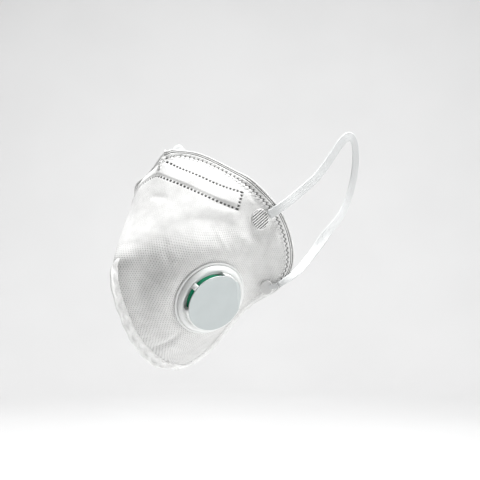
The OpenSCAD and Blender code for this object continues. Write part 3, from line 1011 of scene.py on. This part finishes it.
def hem_relief(x, s, t):
    """Height and darkness of the hem, x mm from its edge and s mm along it."""
    teeth = TEETH + 0.5 * np.cos(TURN * s / TOOTH_PITCH)[:, None]
    plain = 1 - 0.85 * ease((t - 6.7) / 0.5)
    half = 0.21 + 0.03 * ease((3.0 - t) / 1.5)
    dark = plain * (groove(x, LINE_A, half) + groove(x, LINE_B, half) + groove(x, teeth, 0.28))
    height = (0.12 - 0.55 * plain * (groove(x, LINE_A, 0.25) + groove(x, LINE_B, 0.25))
              - 0.6 * plain * groove(x, teeth, 0.4)
              + 0.2 * groove(x, 3.3, 1.0) - 0.45 * ease((0.35 - x) / 0.35))
    return height, np.clip(dark, 0, 1)


def make_hem():
    """Welded edge all round the face opening, pressed thin along its lines."""
    outer, inner, s = hem_stations()
    gap = form(outer[:, 0], outer[:, 1]) - form(inner[:, 0], inner[:, 1])
    wide = np.maximum(np.linalg.norm(gap, axis=1), 1.0)[:, None]

    def between(k):
        return [outer[:, i:i + 1] * (1 - k) + inner[:, i:i + 1] * k for i in (0, 1)]
    spread = np.where(HEM_LANES < 3.0, HEM_LANES, 3.0 + (HEM_LANES - 3.0) * (wide - 2.4) / 3.0)
    k = np.where(wide > 4.5, spread, HEM_LANES * wide / HEM_W) / wide
    u, t = between(k)
    x = np.broadcast_to(HEM_LANES[None, :], k.shape)
    height, dark = hem_relief(x, s, outer[:, 1:2])
    share = k * wide / HEM_W
    dent = far_dent(u, t, np.clip(share, 0, 1.1)) + brim(t, share)
    top = skin(u, t, height + dent)
    share = BACK_LANES[None, :] / HEM_W * np.ones_like(wide)
    u, t = between(share)
    bottom = skin(u, t, BACK_HEIGHTS[None, :] + far_dent(u, t, share) + brim(t, share))
    points = np.concatenate([bottom, top], 1)
    mark = np.concatenate([np.zeros(bottom.shape[:2]), dark], 1)
    lane = np.concatenate([-BACK_LANES, HEM_LANES])
    uv = np.stack(np.broadcast_arrays(s[:, None], lane[None, :]), -1)
    faces = grid_faces(*points.shape[:2], wrap_rows=True)[:, ::-1]
    obj = mesh_piece("hem_band", points, faces, uv, {"mark": mark})
    finish_piece(obj, "welded_edge", "hem_weld")


# --- welded seams on the ridge ---

def ridge_out(t):
    """Direction straight out from the ridge."""
    d = unit(along(RIDGE, t + 0.01) - along(RIDGE, t - 0.01))
    return np.stack([0 * d[..., 0], d[..., 2], -d[..., 1]], -1)


def make_flange(name, node, t0, t1, width, ramp, scallop, jag):
    """Flat weld that stands out from the ridge, crimped along its length.

    It is width mm wide and narrows over ramp stations at both ends. scallop is the pitch
    of the crimps, and jag the roughness of the cut edge, in mm.
    """
    dense = np.linspace(t0, t1, 500)
    run = length_along(along(RIDGE, dense))
    s = np.linspace(0, run[-1], int(run[-1] / 0.35))
    t = np.interp(s, run, dense)
    fade = ease(s / 5)
    root = along(RIDGE, t) - (1.5 - 1.2 * fade)[:, None] * ridge_out(t)
    w = width * ease((t - t0) / ramp) * (0.15 + 0.85 * ease((t1 - t) / ramp)) + 1.0
    w = w + jag * np.sin(TURN * s / 1.3) + 0.5 * jag * np.sin(TURN * s / 0.83)
    w = w * (0.2 + 0.8 * fade)
    share = np.linspace(0, 1, 25)[None, :]
    x = share * w[:, None]
    crimp = np.cos(TURN * s[:, None] / scallop)
    bead = 0.5 * groove(x, 1.7 + 0.6 * crimp, 0.75)
    dimple = 0.4 * groove(x, 4.2 + 0.5 * crimp, 0.8) * (0.5 + 0.5 * crimp) ** 0.6
    half = 0.46 + bead - dimple + 0.12 * groove(x, w[:, None] - 0.7, 0.35)
    half = half * np.sqrt(np.clip(1 - share ** 24, 0, 1)) * (0.2 + 0.8 * fade[:, None]) + 0.02
    sway = 0.35 * np.sin(TURN * s / 11)[:, None] * share
    spine = root[:, None, :] + x[..., None] * ridge_out(t)[:, None, :]
    sideways = np.array([1.0, 0, 0])
    points = np.concatenate([spine + (sway - half)[..., None] * sideways,
                             (spine + (sway + half)[..., None] * sideways)[:, ::-1]], 1)
    lane = np.concatenate([x, -x[:, ::-1]], 1)
    uv = np.stack([np.broadcast_to(s[:, None], lane.shape), lane], -1)
    mark = 0.06 + 0.16 * (dimple / 0.4)
    mark = np.concatenate([mark, mark[:, ::-1]], 1)
    obj = mesh_piece(name, points, tube_faces(*points.shape[:2]), uv, {"mark": mark})
    finish_piece(obj, "welded_edge", node)


# --- welded patches of the ear loops ---

STRIPE_PITCH, STRIPE_SLANT = 1.42, math.radians(40)


def make_patch(name, side, place, radius, squeeze, lift, stripes, tone):
    """Oval weld, with stripes 1 or 0, and tone from 0 for white to 1 for dark."""
    u, t = side * place[0], place[1]
    n = skin_out(u, t)
    centre = skin(u, t, 0) + lift * n
    right = unit(np.cross([0, 0, 1.0], n))
    up = np.cross(n, right)
    rings, steps = 44, 96
    r = np.linspace(0, 1, rings)[1:, None]
    a = np.linspace(0, TURN, steps, endpoint=False)[None, :]
    x, y = radius * squeeze * r * np.cos(a), radius * r * np.sin(a)
    v = (-side * x * math.sin(STRIPE_SLANT) + y * math.cos(STRIPE_SLANT)) / STRIPE_PITCH
    stripe = stripes * ease((np.cos(TURN * v) - 0.2) / 0.4) * ease((0.97 - r) / 0.05)
    height = 0.8 - 0.35 * stripe - 0.75 * ease((r - 0.93) / 0.07)
    top = centre + x[..., None] * right + y[..., None] * up + height[..., None] * n
    base = (centre + (radius * squeeze * np.cos(a.T)) * right
            + (radius * np.sin(a.T)) * up - 0.6 * n)
    points = np.concatenate([centre[None] + 0.6 * n, top.reshape(-1, 3), base])
    mark = np.concatenate([[tone], np.maximum(stripe, tone * ease((1 - r) / 0.1)).ravel(),
                           np.zeros(steps)])
    uv = np.concatenate([[[0, 0]], np.stack([x, y], -1).reshape(-1, 2), np.zeros((steps, 2))])
    obj = mesh_piece(name, points, disc_faces(rings, steps), uv, {"mark": mark})
    finish_piece(obj, "loop_weld", name.replace("_patch", ""))


# --- nose wire and foam ---

def make_nose_strip(name, node, slot, half_u, width, top, bottom, square):
    """Strip under the cover along the nose wire's line, between two heights in mm.

    square is the power of its rounded section: 1 for an oval, towards 0 for a box.
    """
    rows, cols = 161, 40
    u = np.linspace(-half_u, half_u, rows)
    t = wire_t(u)
    n = outward(u, t)
    line = skin(u, t, 0)
    side = unit(np.cross(n, unit(np.gradient(line, axis=0))))
    angle = np.linspace(0, TURN, cols, endpoint=False)

    def section(half, wave):
        return half * (np.sign(wave) * np.abs(wave) ** square)
    x, z = section(width / 2, np.cos(angle)), section((top - bottom) / 2, np.sin(angle))
    middle = skin(u, t, (top + bottom) / 2 + macro(u, t))
    taper = np.sqrt(np.clip(1 - np.abs(np.linspace(-1, 1, rows)) ** 30, 0.02, 1))
    points = (middle[:, None, :] + (x[None, :] * taper[:, None])[..., None] * side[:, None, :]
              + z[None, :, None] * n[:, None, :])
    uv = np.stack([np.repeat(length_along(line), cols), np.tile(x, rows)], 1)
    obj = mesh_piece(name, points, tube_faces(rows, cols), uv)
    return finish_piece(obj, slot, node)


# --- valve, in mm from the centre of its seat ---

PLATE_R, PLATE_CHORD, PLATE_TOP = 18.2, 15.2, 8.4
FACET_FALL, FACET_HALF = math.tan(math.radians(44)), 10
# Where the cap's posts stand and its closed wall runs, in degrees from the hinge's side.
POSTS, WALL_FROM, WALL_TO = (128, 180), -178, 64
# The wall's inner and outer radius and its foot.
WALL_IN, WALL_OUT, WALL_LOW = 17.8, 18.95, 2.4


def turned(p, angle=HINGE_ANGLE):
    """Points turned round the valve's axis."""
    c, s = math.cos(angle), math.sin(angle)
    return np.column_stack([p[:, 0] * c - p[:, 1] * s, p[:, 0] * s + p[:, 1] * c, p[:, 2:]])


def rounded(corners, radius, steps=5):
    """Profile whose corners, apart from its ends, are rounded by short curves."""
    out = [np.array(corners[0], float)]
    for k in range(1, len(corners) - 1):
        a, b, c = (np.array(corners[i], float) for i in (k - 1, k, k + 1))
        r = min(radius, 0.45 * np.linalg.norm(a - b), 0.45 * np.linalg.norm(c - b))
        p, q = b + unit(a - b) * r, b + unit(c - b) * r
        for f in np.linspace(0, 1, steps):
            out.append((1 - f) ** 2 * p + 2 * f * (1 - f) * b + f * f * q)
    out.append(np.array(corners[-1], float))
    return np.array(out)


def lathe(profile, steps=128):
    """Points and faces of a profile (r, z) turned round the valve's axis."""
    a = TURN * np.arange(steps) / steps
    r, z = profile[:, 0][None, :], profile[:, 1][None, :]
    p = np.stack([r * np.cos(a)[:, None], r * np.sin(a)[:, None],
                  np.broadcast_to(z, (steps, len(profile)))], -1)
    return p.reshape(-1, 3), grid_faces(steps, len(profile), wrap_rows=True).tolist()


class Parts:
    """Collects points and faces of one piece that is moulded in one."""

    def __init__(self):
        self.points, self.faces = [], []

    def add(self, points, faces):
        base = sum(len(p) for p in self.points)
        self.points.append(np.asarray(points, float))
        self.faces += [[base + i for i in f] for f in faces]

    def block(self, low, high, turn, bevel=0.15):
        """Box with chamfered edges, turned round the valve's axis."""
        rings = []
        for z, e in ((low[2], bevel), (low[2] + bevel, 0), (high[2] - bevel, 0),
                     (high[2], bevel)):
            x0, y0, x1, y1 = low[0] + e, low[1] + e, high[0] - e, high[1] - e
            c = bevel
            rings.append([(x0 + c, y0, z), (x1 - c, y0, z), (x1, y0 + c, z), (x1, y1 - c, z),
                          (x1 - c, y1, z), (x0 + c, y1, z), (x0, y1 - c, z), (x0, y0 + c, z)])
        ends = [list(range(7, -1, -1)), [24 + j for j in range(8)]]
        self.add(turned(np.array(rings).reshape(-1, 3), turn),
                 grid_faces(4, 8, wrap_cols=True)[:, [0, 3, 2, 1]].tolist() + ends)

    def piece(self, name, slot, *nodes, body="root", sharp=50):
        obj = mesh_piece(name, seat_place(np.concatenate(self.points)), self.faces)
        return finish_piece(obj, slot, *nodes, body=body, sharp=sharp)


def make_valve_base():
    """Flange on the cover with its sleeve, lip, crossbar and the flap's two pegs."""
    parts = Parts()
    profile = rounded([(13.6, 1.7), (13.6, -0.6), (15.2, -0.6), (15.2, -5.2), (17.0, -5.2),
                       (17.0, 0.1), (24.0, 0.1), (24.0, 1.15), (23.4, 1.5), (22.6, 1.2),
                       (14.9, 1.2), (14.8, 1.75), (13.7, 1.75)], 0.3)
    parts.add(*lathe(profile[::-1]))
    parts.block((-13.9, -0.7, -0.6), (13.9, 0.7, 1.2), HINGE_ANGLE)
    for s in (-1, 1):
        p, f = lathe(rounded([(0.01, 3.25), (0.8, 3.25), (0.8, 1.0)], 0.3)[::-1], 24)
        parts.add(p + turned(np.array([[13.4, 4.5 * s, 0.0]])), f)
    parts.piece("valve_seat", "valve_plastic", "valve_base")


def chord_outline(r, chord, arc_steps=120, chord_steps=32):
    """Circle with one straight side, centred on the valve, chord towards the hinge."""
    open_half = math.acos(chord / r)
    a = np.linspace(open_half, TURN - open_half, arc_steps)
    arc = np.stack([r * np.cos(a), r * np.sin(a)], 1)
    y = np.linspace(arc[-1, 1], arc[0, 1], chord_steps + 2)[1:-1]
    return turned(np.concatenate([arc, np.stack([np.full_like(y, chord), y], 1)]))


def stacked(layers):
    """Points and faces of a lid through outlines (r, chord, z), from low to high."""
    outlines = [chord_outline(r, chord) for r, chord, _ in layers]
    n = len(outlines[0])
    rings = [np.column_stack([line, np.full(n, z)]) for line, (_, _, z) in zip(outlines, layers)]
    top, last = len(rings) * n, (len(rings) - 1) * n
    faces = grid_faces(len(rings), n, wrap_cols=True)[:, [0, 3, 2, 1]].tolist()
    faces += [[last + j, last + (j + 1) % n, top] for j in range(n)]
    faces += [[(j + 1) % n, j, top + 1] for j in range(n)]
    middle = [[0, 0, layers[-1][2]], [0, 0, layers[0][2]]]
    return np.concatenate([*rings, middle]), faces


def make_valve_cap():
    """Raised ring with its posts and wall, and the plate with its facet."""
    ring = Parts()
    profile = rounded([(17.0, 1.6), (22.5, 1.6), (22.3, 2.5), (21.5, 3.8), (20.5, 4.6),
                       (19.3, 4.0), (18.2, 3.2), (17.0, 2.85), (17.0, 1.6)], 0.8, 6)
    ring.add(*lathe(profile[::-1]))
    for a in POSTS:
        turn = HINGE_ANGLE + math.radians(a)
        ring.block((17.0, -1.85, WALL_LOW), (19.5, 1.85, 7.95), turn, 0.3)
    ring.add(*closed_wall())
    ring.piece("valve_ring", "valve_plastic", sharp=60)
    lid = Parts()
    lid.add(*stacked([(17.9, 14.9, 7.6), (PLATE_R, PLATE_CHORD, 7.8),
                      (PLATE_R, PLATE_CHORD, 8.15), (18.1, 15.1, 8.34), (17.85, 14.85, 8.43),
                      (17.4, 14.4, 8.32), (17.0, 14.0, 8.28), (9.0, 8.5, 8.3)]))
    lid.add(*facet())
    lid.piece("valve_lid", "valve_cap_plastic", "valve_cap", sharp=40)


def closed_wall():
    """Points and faces of the wall, from the last window round the facet to the first."""
    rows = 121
    a = np.radians(np.linspace(WALL_FROM, WALL_TO, rows))

    def edge(r, top):
        height = np.minimum(7.9, PLATE_TOP - (r * np.cos(a) - PLATE_CHORD) * FACET_FALL - 0.15)
        return np.stack([r * np.cos(a), r * np.sin(a),
                         height if top else np.full(rows, WALL_LOW)], 1)
    corners = [edge(WALL_IN, False), edge(WALL_IN, True), edge(WALL_OUT, True),
               edge(WALL_OUT, False)]
    faces = grid_faces(rows, 4, wrap_cols=True)[:, ::-1].tolist()
    faces += [[0, 1, 2, 3], [(rows - 1) * 4 + k for k in (3, 2, 1, 0)]]
    return turned(np.stack(corners, 1).reshape(-1, 3)), faces


def facet():
    """Points and faces of the slope from the plate's straight side to the ring."""
    y = np.linspace(-FACET_HALF, FACET_HALF, 45)[:, None]
    rim = np.full_like(y, PLATE_CHORD)
    for _ in range(12):
        cone = PLATE_R + 0.36 * (rim - PLATE_CHORD) * FACET_FALL
        rim = 0.5 * rim + 0.5 * np.sqrt(cone ** 2 - y ** 2)
    f = np.concatenate([[-0.06], np.linspace(0, 1, 13)])[None, :]
    x = 14.95 + (rim - 14.95) * f
    drop = np.maximum(x - PLATE_CHORD, 0) * FACET_FALL
    top = np.stack([x, np.broadcast_to(y, x.shape), 8.38 - drop], -1)
    return turned(top.reshape(-1, 3)), grid_faces(*x.shape)[:, ::-1].tolist()


def make_flap():
    """Rubber disc that lies on the lip."""
    flap = Parts()
    flap.add(*stacked([(16.3, 13.9, 2.05), (16.6, 14.2, 2.2), (16.6, 14.2, 2.5),
                       (16.4, 14.0, 2.65), (14.0, 12.6, 2.65), (13.6, 12.2, 2.6),
                       (8.0, 7.5, 2.62)]))
    flap.piece("valve_disc", "flap_rubber", "valve_flap", body="flap")


def make_backing_ring():
    """Ring that holds the valve's sleeve from inside the mask."""
    ring = Parts()
    profile = rounded([(17.05, -3.8), (17.05, -5.2), (22.0, -5.1), (23.0, -4.9), (23.0, -4.2),
                       (22.0, -4.0), (17.05, -3.8)], 0.3)
    ring.add(*lathe(profile))
    ring.piece("valve_back_ring", "valve_plastic", "valve_backing_ring")


# --- everything ---

def build():
    """The camera and the cords first, then the stage and the other pieces."""
    make_camera()
    make_materials()
    make_loop("ear_loop_left_band", 1)
    make_loop("ear_loop_right_band", -1)
    make_stage()
    make_light()
    make_hem()
    declare_sheets([
        make_cover(),
        make_layer("filter_layer", "filter_sheet", "filter_media",
                   depth=-1.8, cells=40, spacing=1.6),
        make_layer("support_layer", "support_sheet", "support_felt",
                   depth=-2.6, cells=40, spacing=1.6),
        make_layer("lining_layer", "inner_lining", "lining_nonwoven",
                   depth=-3.6, cells=90, spacing=0.9)])
    make_flange("chin_flange", "chin_seam", t0=4.6, t1=9.9, width=6.2, ramp=0.9,
                scallop=7.5, jag=0.04)
    make_flange("nose_flange", "nose_seam", t0=0.1, t1=1.0, width=1.6, ramp=0.3,
                scallop=2.6, jag=0.3)
    for side, word in ((1, "left"), (-1, "right")):
        make_patch(f"upper_loop_weld_{word}_patch", side, UPPER_PATCH, radius=6.5,
                   squeeze=0.85, lift=0.3, stripes=1, tone=0)
        make_patch(f"lower_loop_weld_{word}_patch", side, LOWER_PATCH, radius=4.75,
                   squeeze=0.8, lift=0.6, stripes=0, tone=0.3)
        make_tab(f"ear_loop_{word}_end", side)
    make_nose_strip("nose_wire_strip", "nose_wire", "nose_wire_metal",
                    half_u=0.8, width=4.0, top=-0.75, bottom=-1.35, square=0.35)
    pad = make_nose_strip("nose_foam_strip", "nose_foam", "nose_foam",
                          half_u=0.72, width=11.0, top=-4.0, bottom=-6.4, square=0.55)
    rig.padded(pad, fill=0.5)
    make_valve_base()
    make_valve_cap()
    make_flap()
    make_backing_ring()


build()
low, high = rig.bounds()
with open("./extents.json", "w") as f:
    json.dump({"cad": [list(cad_low), list(cad_high)], "visual": [list(low), list(high)]}, f)
